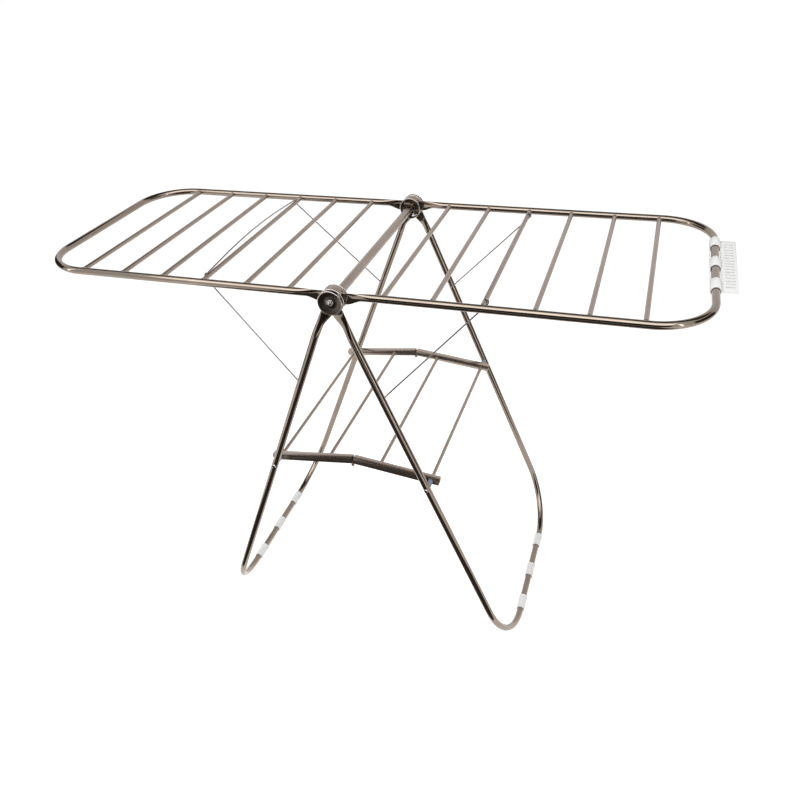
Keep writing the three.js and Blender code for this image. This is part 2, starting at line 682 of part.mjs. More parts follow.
place(hub, 'hanger_comb', combSolid(), whitePlastic, [WING_REACH, COMB_CENTRE_Y, TUBE_OFFSET]);

export default rack;
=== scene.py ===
import json
import math

import bpy
import numpy as np
from mathutils import Matrix, Vector


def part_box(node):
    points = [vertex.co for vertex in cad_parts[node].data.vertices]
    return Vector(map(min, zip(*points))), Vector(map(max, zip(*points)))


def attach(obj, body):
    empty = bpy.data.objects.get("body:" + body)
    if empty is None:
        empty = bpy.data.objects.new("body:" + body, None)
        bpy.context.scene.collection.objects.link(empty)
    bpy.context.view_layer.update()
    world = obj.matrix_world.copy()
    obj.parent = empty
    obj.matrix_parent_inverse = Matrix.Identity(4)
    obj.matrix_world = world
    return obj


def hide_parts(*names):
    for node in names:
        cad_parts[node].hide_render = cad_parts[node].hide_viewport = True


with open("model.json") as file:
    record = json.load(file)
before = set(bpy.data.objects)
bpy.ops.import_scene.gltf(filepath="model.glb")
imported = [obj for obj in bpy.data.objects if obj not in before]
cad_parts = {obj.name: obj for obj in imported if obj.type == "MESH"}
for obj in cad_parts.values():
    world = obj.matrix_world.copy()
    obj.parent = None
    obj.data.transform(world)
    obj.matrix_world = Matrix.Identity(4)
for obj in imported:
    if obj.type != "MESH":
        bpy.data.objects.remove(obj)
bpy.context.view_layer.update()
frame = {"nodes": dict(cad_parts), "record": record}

# ---- centre tube ----
# A thin-walled steel tube that joins the two hubs and holds them apart. It is brushed along its
# length and left bare, and its ends are plugged for the hub rivets.
joint_at = {j["name"]: Vector(j["pos_m"]) for j in frame["record"]["behaviour"]["joints"]}
hub = joint_at["leg_left_fold"]
MM = 0.001
SHARP_ANGLE = math.radians(40)


def new_group(name, inputs, outputs):
    """A shader node group with named number inputs and named outputs."""
    group = bpy.data.node_groups.new(name, "ShaderNodeTree")
    for label, value in inputs.items():
        socket = group.interface.new_socket(label, in_out="INPUT", socket_type="NodeSocketFloat")
        socket.default_value = value
    for label, kind in outputs.items():
        group.interface.new_socket(label, in_out="OUTPUT", socket_type=kind)
    return group, group.nodes.new("NodeGroupInput"), group.nodes.new("NodeGroupOutput")


def math_node(tree, operation, a, b=None):
    node = tree.nodes.new("ShaderNodeMath")
    node.operation = operation
    for slot, value in zip(node.inputs, (a, b)):
        if value is None:
            continue
        if isinstance(value, (int, float)):
            slot.default_value = value
        else:
            tree.links.new(value, slot)
    return node.outputs[0]


# Drawn grain: fine lines that run along one axis, with slower cloudy patches under them.
grain, grain_in, grain_out = new_group(
    "Drawn Grain",
    {"Along X": 1.0, "Along Y": 1.0, "Along Z": 1.0, "Fineness": 900.0},
    {"Lines": "NodeSocketFloat", "Patches": "NodeSocketFloat"},
)
coordinates = grain.nodes.new("ShaderNodeTexCoord")
stretch = grain.nodes.new("ShaderNodeCombineXYZ")
for axis in range(3):
    grain.links.new(grain_in.outputs[axis], stretch.inputs[axis])
stretched = grain.nodes.new("ShaderNodeVectorMath")
stretched.operation = "MULTIPLY"
grain.links.new(coordinates.outputs["Object"], stretched.inputs[0])
grain.links.new(stretch.outputs[0], stretched.inputs[1])
lines = grain.nodes.new("ShaderNodeTexNoise")
lines.inputs["Detail"].default_value = 3.0
grain.links.new(stretched.outputs[0], lines.inputs["Vector"])
grain.links.new(grain_in.outputs["Fineness"], lines.inputs["Scale"])
patches = grain.nodes.new("ShaderNodeTexNoise")
patches.inputs["Scale"].default_value = 14.0
grain.links.new(coordinates.outputs["Object"], patches.inputs["Vector"])
grain.links.new(lines.outputs["Fac"], grain_out.inputs["Lines"])
grain.links.new(patches.outputs["Fac"], grain_out.inputs["Patches"])


def steel(name, colour, dull, roughness, spread, along, bump):
    """Bare steel: grain moves the roughness and colour, and lifts a shallow bump."""
    material = bpy.data.materials.new(name)
    material.use_nodes = True
    tree = material.node_tree
    shader = tree.nodes["Principled BSDF"]
    shader.inputs["Metallic"].default_value = 1.0
    surface = tree.nodes.new("ShaderNodeGroup")
    surface.node_tree = grain
    for label, value in zip(("Along X", "Along Y", "Along Z"), along):
        surface.inputs[label].default_value = value
    tint = tree.nodes.new("ShaderNodeMix")
    tint.data_type = "RGBA"
    tint.inputs["A"].default_value = (*dull, 1.0)
    tint.inputs["B"].default_value = (*colour, 1.0)
    tree.links.new(surface.outputs["Patches"], tint.inputs["Factor"])
    tree.links.new(tint.outputs["Result"], shader.inputs["Base Color"])
    varied = math_node(tree, "MULTIPLY", surface.outputs["Lines"], spread)
    level = math_node(tree, "ADD", varied, roughness - spread / 2)
    tree.links.new(level, shader.inputs["Roughness"])
    relief = tree.nodes.new("ShaderNodeBump")
    relief.inputs["Strength"].default_value = bump
    relief.inputs["Distance"].default_value = 0.1 * MM
    tree.links.new(surface.outputs["Lines"], relief.inputs["Height"])
    tree.links.new(relief.outputs["Normal"], shader.inputs["Normal"])
    return material


def make_piece(name, verts, faces, material, body, slot, nodes):
    """A finished piece from vertices in the row frame, which stands for CAD nodes on one body."""
    mesh = bpy.data.meshes.new(name)
    mesh.from_pydata([tuple(v) for v in verts], [], faces)
    mesh.materials.append(material)
    mesh.polygons.foreach_set("use_smooth", [True] * len(mesh.polygons))
    mesh.set_sharp_from_angle(angle=SHARP_ANGLE)
    piece = bpy.data.objects.new(name, mesh)
    bpy.context.collection.objects.link(piece)
    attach(piece, body)
    if nodes:
        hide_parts(*nodes)
    return piece


def skin(rings, closed=False):
    """Faces over rings of equal length, with both ends capped unless the rings close on themselves."""
    rings = [np.asarray(r, float) for r in rings]
    sides = len(rings[0])
    count = len(rings)
    faces = []
    for i in range(count if closed else count - 1):
        a, b = i * sides, ((i + 1) % count) * sides
        for j in range(sides):
            k = (j + 1) % sides
            faces.append((a + j, a + k, b + k, b + j))
    if not closed:
        faces.append(tuple(reversed(range(sides))))
        faces.append(tuple(range((count - 1) * sides, count * sides)))
    return np.concatenate(rings), faces


def circle_about(centre, tangent, up, radius, sides):
    """One ring of a tube round its centre line. It turns so that the tube's skin faces outwards."""
    tangent, up = Vector(tangent).normalized(), Vector(up)
    across = tangent.cross(up).normalized()
    rise = across.cross(tangent).normalized()
    turns = [2 * math.pi * j / sides for j in range(sides)]
    return [Vector(centre) + radius * (math.cos(t) * rise + math.sin(t) * across) for t in turns]


satin_steel = steel(
    "Satin Steel", (0.38, 0.315, 0.27), (0.29, 0.238, 0.2), 0.28, 0.12, (1, 0.04, 1), 0.1
)
low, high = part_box("centre_tube")
TUBE_ROUND = 40
centre_radius = (high.z - low.z) / 2
centre_middle = (low + high) / 2
edge = 0.6 * MM
ends = [
    (low.y, centre_radius - edge),
    (low.y + edge, centre_radius),
    (high.y - edge, centre_radius),
    (high.y, centre_radius - edge),
]
rings = [
    circle_about((centre_middle.x, y, centre_middle.z), (0, 1, 0), (0, 0, 1), r, TUBE_ROUND)
    for y, r in ends
]
make_piece("centre_tube_piece", *skin(rings), satin_steel, "hub", "satin_steel", ["centre_tube"])

# ---- hubs ----
# Each hub is a short barrel with slots that the flattened frame ends turn in. A dark pressed cap
# closes it and a rivet, spread to a collar at its head, runs through the cap, a spacer and all four
# flats. Rolled beads stiffen the barrel at both rims and between its slots.
bright_steel = steel(
    "Bright Steel", (0.66, 0.62, 0.58), (0.55, 0.51, 0.47), 0.22, 0.08, (1, 1, 1), 0.02
)
dark_steel = steel(
    "Dark Steel", (0.12, 0.1, 0.088), (0.065, 0.053, 0.047), 0.3, 0.14, (1, 1, 1), 0.2
)

# Softened edges: smooth shading over gentle edges and a crease along the sharp ones.
CREASE_ANGLE = math.radians(35)
BREAK_ANGLE = math.radians(50)
JOIN_WITHIN = 0.002 * MM
BARREL_EDGE = 0.3 * MM
PIN_EDGE = 0.2 * MM
soften = bpy.data.node_groups.new("Soft Shading", "GeometryNodeTree")
soften.interface.new_socket("Geometry", in_out="INPUT", socket_type="NodeSocketGeometry")
crease = soften.interface.new_socket("Crease Angle", in_out="INPUT", socket_type="NodeSocketFloat")
crease.default_value = CREASE_ANGLE
soften.interface.new_socket("Geometry", in_out="OUTPUT", socket_type="NodeSocketGeometry")
soft_in = soften.nodes.new("NodeGroupInput")
soft_out = soften.nodes.new("NodeGroupOutput")
shade_faces = soften.nodes.new("GeometryNodeSetShadeSmooth")
shade_edges = soften.nodes.new("GeometryNodeSetShadeSmooth")
shade_edges.domain = "EDGE"
shade_edges.inputs["Shade Smooth"].default_value = False
edge_angle = soften.nodes.new("GeometryNodeInputMeshEdgeAngle")
sharper = soften.nodes.new("FunctionNodeCompare")
sharper.operation = "GREATER_THAN"
soften.links.new(soft_in.outputs["Geometry"], shade_faces.inputs["Geometry"])
soften.links.new(shade_faces.outputs["Geometry"], shade_edges.inputs["Geometry"])
soften.links.new(edge_angle.outputs["Unsigned Angle"], sharper.inputs[0])
soften.links.new(soft_in.outputs["Crease Angle"], sharper.inputs[1])
soften.links.new(sharper.outputs["Result"], shade_edges.inputs["Selection"])
soften.links.new(shade_edges.outputs["Geometry"], soft_out.inputs["Geometry"])


def dress(node, material, round_edge):
    """A CAD node keeps its shape and gets a real finish, with its sharp edges just broken.

    Its faces come apart from each other, so they are joined before the edges can be rounded.
    """
    part = frame["nodes"][node]
    part.data.materials.clear()
    part.data.materials.append(material)
    weld = part.modifiers.new("Joined Faces", "WELD")
    weld.merge_threshold = JOIN_WITHIN
    bevel = part.modifiers.new("Broken Edges", "BEVEL")
    bevel.width = round_edge
    bevel.segments = 2
    bevel.limit_method = "ANGLE"
    bevel.angle_limit = BREAK_ANGLE
    smooth = part.modifiers.new("Soft Shading", "NODES")
    smooth.node_group = soften


barrel_steel = steel(
    "Barrel Steel", (0.29, 0.235, 0.198), (0.2, 0.16, 0.135), 0.14, 0.1, (1, 0.05, 1), 0.03
)
LATHE_ROUND = 72
RIM_BEAD = 1.1 * MM
RIVET_COLLAR = 1.3 * MM
COLLAR_OUT = 0.7  # how far the collar sits off the head, in its own widths
CAP_BORE = 3.3 * MM
BEAD_ROUND = 12
DISH_DEPTH = 1.4 * MM
CAP_STEPS = 10


def turned_about_hub(profile, facing):
    """A closed turned part on the hub line from (place along it, radius) points, in order."""
    rings = []
    for y, radius in profile:
        place = (hub.x, y * facing, hub.z)
        rings.append(circle_about(place, (0, 1, 0), (0, 0, 1), radius, LATHE_ROUND))
    verts, faces = skin(rings, closed=True)
    return verts, faces if facing < 0 else [tuple(reversed(face)) for face in faces]


for end, facing in (("front", -1), ("back", 1)):
    drum_low, drum_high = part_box(f"hub_drum_{end}")
    drum_radius = (drum_high.z - drum_low.z) / 2
    drum_far = max(abs(drum_low.y), abs(drum_high.y))
    drum_near = min(abs(drum_low.y), abs(drum_high.y))
    inner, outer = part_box(f"hub_spacer_{end}")
    between_windows = abs(inner.y + outer.y) / 2
    beads_verts, beads_faces = [], []
    for y in (drum_far - RIM_BEAD, drum_near + RIM_BEAD, between_windows):
        turns = [2 * math.pi * i / BEAD_ROUND for i in range(BEAD_ROUND)]
        profile = [
            (y + RIM_BEAD * math.cos(t), drum_radius + RIM_BEAD * math.sin(t)) for t in turns
        ]
        verts, faces = turned_about_hub(profile, facing)
        beads_faces += [tuple(v + len(beads_verts) for v in face) for face in faces]
        beads_verts += [tuple(v) for v in verts]
    make_piece(f"hub_beads_{end}", beads_verts, beads_faces, bright_steel, "hub", "bright_steel", [])
    cap_low, cap_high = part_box(f"hub_cap_{end}")
    cap_radius = (cap_high.z - cap_low.z) / 2
    cap_face = max(abs(cap_low.y), abs(cap_high.y))
    cap_back = min(abs(cap_low.y), abs(cap_high.y))
    outer_face = []
    for i in range(CAP_STEPS + 1):
        share = i / CAP_STEPS
        radius = CAP_BORE + (cap_radius - CAP_BORE) * share
        outer_face.append((cap_face - DISH_DEPTH * math.sin(math.pi * share) ** 2, radius))
    profile = [(cap_back, CAP_BORE)] + outer_face + [(cap_back, cap_radius)]
    verts, faces = turned_about_hub(profile, facing)
    make_piece(f"hub_cap_dish_{end}", verts, faces, dark_steel, "hub", "dark_steel",
               [f"hub_cap_{end}"])
    pin_low, pin_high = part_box(f"hub_pin_{end}")
    head_radius = (pin_high.z - pin_low.z) / 2
    profile = [
        (cap_face + RIVET_COLLAR * math.cos(t) / 2, head_radius + RIVET_COLLAR * (COLLAR_OUT + math.sin(t)))
        for t in (2 * math.pi * i / BEAD_ROUND for i in range(BEAD_ROUND))
    ]
    verts, faces = turned_about_hub(profile, facing)
    make_piece(f"hub_rivet_collar_{end}", verts, faces, bright_steel, "hub", "bright_steel", [])
    dress(f"hub_drum_{end}", barrel_steel, BARREL_EDGE)
    dress(f"hub_spacer_{end}", dark_steel, BARREL_EDGE)
    dress(f"hub_pin_{end}", bright_steel, PIN_EDGE)

# ---- wing and leg frames ----
# Each is one polished steel tube bent to a U. Its two ends are pressed flat, flared on the inner
# edge and punched, and they step sideways so that all four flats stack on one rivet.
polished_steel = steel(
    "Polished Steel", (0.30, 0.252, 0.21), (0.21, 0.172, 0.14), 0.1, 0.06, (1, 1, 1), 0.02
)
TUBE_RADIUS = 8 * MM
FLAT_THICKNESS = 3 * MM
FLAT_WIDTH = 24.5 * MM
FLAT_PAST_HUB = 11 * MM
FLAT_UNTIL = 28 * MM
FLARE_GONE = 60 * MM
SWELL_FROM = 30 * MM
SWELL_GONE = 85 * MM
WING_BEND = 110 * MM
LEG_BEND = 140 * MM
LEG_SPREAD = math.radians(22)
STACK_GAP = 0.3 * MM
STACK_PLAY = 0.45 * MM
BEND_STEPS = 20
PRESS_STEPS = 40

spacer_low, spacer_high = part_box("hub_spacer_back")
flat_at = {"leg_right": spacer_high.y + STACK_GAP + FLAT_THICKNESS / 2}
flat_at["leg_left"] = spacer_low.y - STACK_GAP - FLAT_THICKNESS / 2
flat_at["wing_right"] = flat_at["leg_left"] - FLAT_THICKNESS - STACK_PLAY
flat_at["wing_left"] = flat_at["wing_right"] - FLAT_THICKNESS - STACK_PLAY


def eased(value, start, stop):
    share = min(max((value - start) / (stop - start), 0.0), 1.0)
    return share * share * (3 - 2 * share)


def u_path(reach, half_width, bend, flat_y):
    """Stations of half a U, from the flat end to the middle of the far bar: place and direction."""
    stations = []
    for i in range(PRESS_STEPS + 1):
        x = -FLAT_PAST_HUB + (SWELL_GONE + FLAT_PAST_HUB) * i / PRESS_STEPS
        share = min(max((x - FLAT_UNTIL) / (SWELL_GONE - FLAT_UNTIL), 0.0), 1.0)
        stations.append(((x, flat_y + (half_width - flat_y) * share), (1, 0)))
    for i in range(BEND_STEPS + 1):
        turn = math.pi / 2 * i / BEND_STEPS
        place = (reach - bend + bend * math.sin(turn), half_width - bend + bend * math.cos(turn))
        stations.append((place, (math.cos(turn), -math.sin(turn))))
    return stations


def pressed_frame(reach, half_width, bend, flat_y):
    """Rings of the whole U in its own flat frame: x out from the hub line, y along it, z outwards."""
    half = u_path(reach, half_width, bend, flat_y)
    back = [((x, -y), (-tx, ty)) for (x, y), (tx, ty) in reversed(half)]
    rings = []
    for (x, y), (tx, ty) in half + back:
        ring = circle_about((x, y, TUBE_RADIUS), (tx, ty, 0), (0, 0, 1), TUBE_RADIUS, TUBE_ROUND)
        if x < SWELL_GONE:
            thick = eased(x, SWELL_FROM, SWELL_GONE)
            narrow = eased(x, FLAT_UNTIL, FLARE_GONE)
            thin = FLAT_THICKNESS / (2 * TUBE_RADIUS) * (1 - thick) + thick
            wide = FLAT_WIDTH / (2 * TUBE_RADIUS) * (1 - narrow) + narrow
            top = 2 * TUBE_RADIUS
            ring = [Vector((p.x, y + (p.y - y) * thin, top + (p.z - top) * wide)) for p in ring]
        rings.append(ring)
    return rings


def set_out(rings, out, outer, turned):
    """Puts a flat frame on the hub line. A frame on the left is the right one turned about Z."""
    basis = Matrix((out, (0, 1, 0), outer)).transposed()
    turn = Matrix.Rotation(math.pi if turned else 0.0, 3, "Z")
    return [[hub + turn @ (basis @ p) for p in ring] for ring in rings]


_, wing_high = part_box("wing_frame_right")
wing_reach = wing_high.x - hub.x - TUBE_RADIUS
wing_half_width = wing_high.y - TUBE_RADIUS
leg_low, leg_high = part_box("leg_frame_right")
leg_half_width = leg_high.y - TUBE_RADIUS
leg_drop = hub.z - leg_low.z - TUBE_RADIUS + TUBE_RADIUS * math.sin(LEG_SPREAD)
leg_reach = leg_drop / math.cos(LEG_SPREAD)
leg_out = (math.sin(LEG_SPREAD), 0, -math.cos(LEG_SPREAD))
leg_outer = (math.cos(LEG_SPREAD), 0, math.sin(LEG_SPREAD))

for side in ("left", "right"):
    turned = side == "left"
    rings = pressed_frame(wing_reach, wing_half_width, WING_BEND, flat_at[f"wing_{side}"])
    rings = set_out(rings, (1, 0, 0), (0, 0, 1), turned)
    make_piece(
        f"wing_tube_{side}",
        *skin(rings),
        polished_steel,
        f"wing_{side}",
        "polished_steel",
        [f"wing_frame_{side}"],
    )
    rings = pressed_frame(leg_reach, leg_half_width, LEG_BEND, flat_at[f"leg_{side}"])
    rings = set_out(rings, leg_out, leg_outer, turned)
    make_piece(
        f"leg_tube_{side}",
        *skin(rings),
        polished_steel,
        f"leg_{side}",
        "polished_steel",
        [f"leg_frame_{side}"],
    )

# ---- rungs ----
# Straight satin rods across the wings and the shelf. Each is pushed between its rails and welded,
# which leaves a small collar of weld at both ends.
ROD_ROUND = 28
COLLAR_TAPER = 2.5
rungs = bpy.data.node_groups.new("Rung Row", "GeometryNodeTree")
rungs.interface.new_socket("Geometry", in_out="INPUT", socket_type="NodeSocketGeometry")
for label, kind in (
    ("First", "NodeSocketVector"),
    ("Step", "NodeSocketVector"),
    ("Count", "NodeSocketInt"),
    ("Radius", "NodeSocketFloat"),
    ("Length", "NodeSocketFloat"),
    ("Collar", "NodeSocketFloat"),
    ("Material", "NodeSocketMaterial"),
):
    rungs.interface.new_socket(label, in_out="INPUT", socket_type=kind)
rungs.interface.new_socket("Geometry", in_out="OUTPUT", socket_type="NodeSocketGeometry")
row_in = rungs.nodes.new("NodeGroupInput")
row_out = rungs.nodes.new("NodeGroupOutput")


def row_math(operation, a, b):
    node = rungs.nodes.new("ShaderNodeMath")
    node.operation = operation
    for slot, value in zip(node.inputs, (a, b)):
        if isinstance(value, (int, float)):
            slot.default_value = value
        else:
            rungs.links.new(value, slot)
    return node.outputs[0]


places = rungs.nodes.new("GeometryNodeMeshLine")
places.mode = "OFFSET"
rungs.links.new(row_in.outputs["Count"], places.inputs["Count"])
rungs.links.new(row_in.outputs["First"], places.inputs["Start Location"])
rungs.links.new(row_in.outputs["Step"], places.inputs["Offset"])
rod = rungs.nodes.new("GeometryNodeMeshCylinder")
rod.inputs["Vertices"].default_value = ROD_ROUND
rungs.links.new(row_in.outputs["Radius"], rod.inputs["Radius"])
rungs.links.new(row_in.outputs["Length"], rod.inputs["Depth"])
joined = rungs.nodes.new("GeometryNodeJoinGeometry")
collar_reach = row_math("MULTIPLY", row_in.outputs["Collar"], COLLAR_TAPER)
for end in (1, -1):
    collar = rungs.nodes.new("GeometryNodeMeshCone")
    collar.inputs["Vertices"].default_value = ROD_ROUND
    rungs.links.new(row_in.outputs["Radius"], collar.inputs["Radius Top"])
    wide = row_math("ADD", row_in.outputs["Radius"], row_in.outputs["Collar"])
    rungs.links.new(wide, collar.inputs["Radius Bottom"])
    rungs.links.new(collar_reach, collar.inputs["Depth"])
    shift = rungs.nodes.new("ShaderNodeCombineXYZ")
    far_end = row_math("MULTIPLY", row_in.outputs["Length"], 0.5)
    rungs.links.new(row_math("MULTIPLY", far_end, end), shift.inputs["Z"])
    seat = rungs.nodes.new("GeometryNodeTransform")
    seat.inputs["Rotation"].default_value = (math.pi if end > 0 else 0.0, 0.0, 0.0)
    rungs.links.new(collar.outputs["Mesh"], seat.inputs["Geometry"])
    rungs.links.new(shift.outputs[0], seat.inputs["Translation"])
    rungs.links.new(seat.outputs["Geometry"], joined.inputs["Geometry"])
rungs.links.new(rod.outputs["Mesh"], joined.inputs["Geometry"])
across = rungs.nodes.new("GeometryNodeTransform")
across.inputs["Rotation"].default_value = (math.pi / 2, 0.0, 0.0)
rungs.links.new(joined.outputs["Geometry"], across.inputs["Geometry"])
spread_out = rungs.nodes.new("GeometryNodeInstanceOnPoints")
rungs.links.new(places.outputs["Mesh"], spread_out.inputs["Points"])
rungs.links.new(across.outputs["Geometry"], spread_out.inputs["Instance"])
made_real = rungs.nodes.new("GeometryNodeRealizeInstances")
finish = rungs.nodes.new("GeometryNodeSetMaterial")
rungs.links.new(spread_out.outputs["Instances"], made_real.inputs["Geometry"])
rungs.links.new(made_real.outputs["Geometry"], finish.inputs["Geometry"])
rungs.links.new(row_in.outputs["Material"], finish.inputs["Material"])
rungs.links.new(finish.outputs["Geometry"], row_out.inputs["Geometry"])


def grow(name, tree, values, body, nodes):
    """Runs a node tree with these values and keeps the result as a plain piece on one body."""
    seed_mesh = bpy.data.meshes.new(f"{name} Start")
    carrier = bpy.data.objects.new(f"{name} Start", seed_mesh)
    bpy.context.collection.objects.link(carrier)
    modifier = carrier.modifiers.new("Grow", "NODES")
    modifier.node_group = tree
    sockets = {
        item.name: item.identifier
        for item in tree.interface.items_tree
        if item.item_type == "SOCKET" and item.in_out == "INPUT"
    }
    for label, value in values.items():
        modifier[sockets[label]] = value
    graph = bpy.context.evaluated_depsgraph_get()
    mesh = bpy.data.meshes.new_from_object(carrier.evaluated_get(graph), depsgraph=graph)
    bpy.data.objects.remove(carrier)
    mesh.name = name
    mesh.polygons.foreach_set("use_smooth", [True] * len(mesh.polygons))
    mesh.set_sharp_from_angle(angle=SHARP_ANGLE)
    piece = bpy.data.objects.new(name, mesh)
    bpy.context.collection.objects.link(piece)
    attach(piece, body)
    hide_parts(*nodes)
    return piece


RUNG_COUNT = 6
WELD_COLLAR = 0.9 * MM
for side in ("left", "right"):
    nodes = [f"wing_rung_{side}_{i + 1}" for i in range(RUNG_COUNT)]
    boxes = [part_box(node) for node in nodes]
    centres = [(a + b) / 2 for a, b in boxes]
    first_low, first_high = boxes[0]
    values = {
        "First": centres[0],
        "Step": centres[1] - centres[0],
        "Count": RUNG_COUNT,
        "Radius": (first_high.z - first_low.z) / 2,
        "Length": first_high.y - first_low.y,
        "Collar": WELD_COLLAR,
        "Material": satin_steel,
    }
    grow(f"wing_rungs_{side}", rungs, values, f"wing_{side}", nodes)
    nodes = [f"shelf_rung_{side}_{place}" for place in ("outer", "inner")]
    boxes = [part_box(node) for node in nodes]
    centres = [(a + b) / 2 for a, b in boxes]
    first_low, first_high = boxes[0]
    values = {
        "First": centres[0],
        "Step": centres[1] - centres[0],
        "Count": len(nodes),
        "Radius": (first_high.z - first_low.z) / 2,
        "Length": first_high.y - first_low.y,
        "Collar": WELD_COLLAR,
        "Material": satin_steel,
    }
    grow(f"shelf_rungs_{side}", rungs, values, f"shelf_{side}", nodes)

# ---- shelf ----
# Two halves of square tube, open at the ends, pivot on rivets through the legs and meet at a
# hinge in the middle. Moulded bushes keep the channels off the legs.
channel_steel = steel(
    "Channel Steel", (0.42, 0.35, 0.30), (0.34, 0.28, 0.235), 0.25, 0.12, (0.04, 1, 1), 0.08
)


def plastic(name, colour, shade, roughness, glow, bump):
    """Moulded plastic with a faint flow pattern, a little light in it and handling marks."""
    material = bpy.data.materials.new(name)
    material.use_nodes = True
    tree = material.node_tree
    shader = tree.nodes["Principled BSDF"]
    shader.inputs["Subsurface Weight"].default_value = glow
    shader.inputs["Subsurface Scale"].default_value = 2 * MM
    surface = tree.nodes.new("ShaderNodeGroup")
    surface.node_tree = grain
    tint = tree.nodes.new("ShaderNodeMix")
    tint.data_type = "RGBA"
    tint.inputs["A"].default_value = (*shade, 1.0)
    tint.inputs["B"].default_value = (*colour, 1.0)
    tree.links.new(surface.outputs["Patches"], tint.inputs["Factor"])
    tree.links.new(tint.outputs["Result"], shader.inputs["Base Color"])
    varied = math_node(tree, "MULTIPLY", surface.outputs["Lines"], 0.12)
    level = math_node(tree, "ADD", varied, roughness - 0.06)
    tree.links.new(level, shader.inputs["Roughness"])
    relief = tree.nodes.new("ShaderNodeBump")
    relief.inputs["Strength"].default_value = bump
    relief.inputs["Distance"].default_value = 0.1 * MM
    tree.links.new(surface.outputs["Lines"], relief.inputs["Height"])
    tree.links.new(relief.outputs["Normal"], shader.inputs["Normal"])
    return material


grey_plastic = plastic(
    "Grey Plastic", (0.30, 0.33, 0.42), (0.24, 0.27, 0.35), 0.5, 0.0, 0.1
)
CHANNEL_EDGE = 1.2 * MM
MOULDED_EDGE = 0.4 * MM
for end in ("front", "back"):
    for side in ("left", "right"):
        dress(f"shelf_channel_{side}_{end}", channel_steel, CHANNEL_EDGE)
        dress(f"shelf_bush_{side}_{end}", grey_plastic, MOULDED_EDGE)
        dress(f"shelf_rivet_{side}_{end}", bright_steel, BARREL_EDGE)
    dress(f"shelf_hinge_pin_{end}", bright_steel, PIN_EDGE)

# ---- stays ----
# Each stay is one length of springy wire. It turns once round the third rung near each rail,
# arches over the rung between those eyes, and hooks into the leg tubes at both ends.
stay_steel = steel(
    "Stay Wire", (0.33, 0.30, 0.28), (0.25, 0.225, 0.21), 0.24, 0.1, (1, 1, 1), 0.05
)
WIRE_RADIUS = 1.6 * MM
WIRE_ROUND = 14
EYE_AT = 228 * MM
HOOK_ALONG_LEG = 234 * MM
HOOK_LENGTH = 12 * MM
HOOK_BEND_STEPS = 6
HOOK_BEND = 7 * MM
ARCH_RISE = 17 * MM
ARCH_LEAN = 3 * MM
EYE_TURN_STEPS = 28
ARCH_STEPS = 24
FIT = 0.3 * MM


def wire_skin(points, radius, sides):
    """A round wire through these points, carried along without twist."""
    points = [Vector(p) for p in points]
    tangents = []
    for i in range(len(points)):
        ahead = points[min(i + 1, len(points) - 1)]
        behind = points[max(i - 1, 0)]
        tangents.append((ahead - behind).normalized())
    up = Vector((0, 0, 1)) if abs(tangents[0].z) < 0.9 else Vector((1, 0, 0))
    rings = []
    for point, tangent in zip(points, tangents):
        up = (up - tangent * up.dot(tangent)).normalized()
        rings.append(circle_about(point, tangent, up, radius, sides))
    return skin(rings)


rung_low, rung_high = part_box("wing_rung_right_3")
rung_radius = (rung_high.z - rung_low.z) / 2
rung_centre = (rung_low + rung_high) / 2 - hub
eye_radius = rung_radius + FIT + WIRE_RADIUS
hook_tip = leg_half_width - TUBE_RADIUS - FIT
hook = Vector(leg_out) * HOOK_ALONG_LEG + Vector(leg_outer) * TUBE_RADIUS
arm = Vector((hook.x - rung_centre.x, 0, hook.z - rung_centre.z)).normalized()
offset = Vector((-arm.z, 0, arm.x)) * eye_radius
start_turn = math.atan2(offset.z, offset.x)
if start_turn > 0:
    start_turn -= 2 * math.pi


def stay_half(end):
    """The wire from the middle of the arch to one hook, on the side of the rack that end names."""
    eye = Vector((rung_centre.x, 0, rung_centre.z))
    points = []
    for i in range(ARCH_STEPS + 1):
        share = i / ARCH_STEPS
        swell = math.cos(math.pi / 2 * share)
        lift = eye_radius + (ARCH_RISE - eye_radius) * swell
        points.append(eye + Vector((ARCH_LEAN * swell, end * EYE_AT * share, lift)))
    for i in range(1, EYE_TURN_STEPS + 1):
        share = i / EYE_TURN_STEPS
        turn = math.pi / 2 + (start_turn - math.pi / 2) * share
        step = end * (EYE_AT + 2 * WIRE_RADIUS * share)
        points.append(eye + Vector((eye_radius * math.cos(turn), step, eye_radius * math.sin(turn))))
    knee = Vector((hook.x, end * (hook_tip - HOOK_LENGTH), hook.z))
    reach = (knee - points[-1]).normalized()
    before = knee - reach * HOOK_BEND
    after = knee + Vector((0, end * HOOK_BEND, 0))
    for i in range(HOOK_BEND_STEPS + 1):
        t = i / HOOK_BEND_STEPS
        points.append(before * (1 - t) ** 2 + knee * 2 * t * (1 - t) + after * t**2)
    points.append(Vector((hook.x, end * hook_tip, hook.z)))
    return points


whole = list(reversed(stay_half(-1)))[:-1] + stay_half(1)
for side in ("left", "right"):
    turn = Matrix.Rotation(math.pi if side == "left" else 0.0, 3, "Z")
    verts, faces = wire_skin([hub + turn @ p for p in whole], WIRE_RADIUS, WIRE_ROUND)
    make_piece(
        f"stay_wire_{side}",
        verts,
        faces,
        stay_steel,
        f"stay_{side}",
        "bright_steel",
        [f"stay_{side}"],
    )

# ---- foot sleeves ----
# Three translucent sleeves on each base bar keep the steel off the floor. Each is moulded with
# flats along it and thicker lips, and one flat rests on the floor.
white_plastic = plastic(
    "White Plastic", (0.93, 0.93, 0.925), (0.90, 0.90, 0.895), 0.34, 0.0, 0.03
)
FEET = 3
FOOT_FLATS = 16
LIP_LENGTH = 3.5 * MM
WAIST = 0.6 * MM
LIP_EDGE = 0.7 * MM


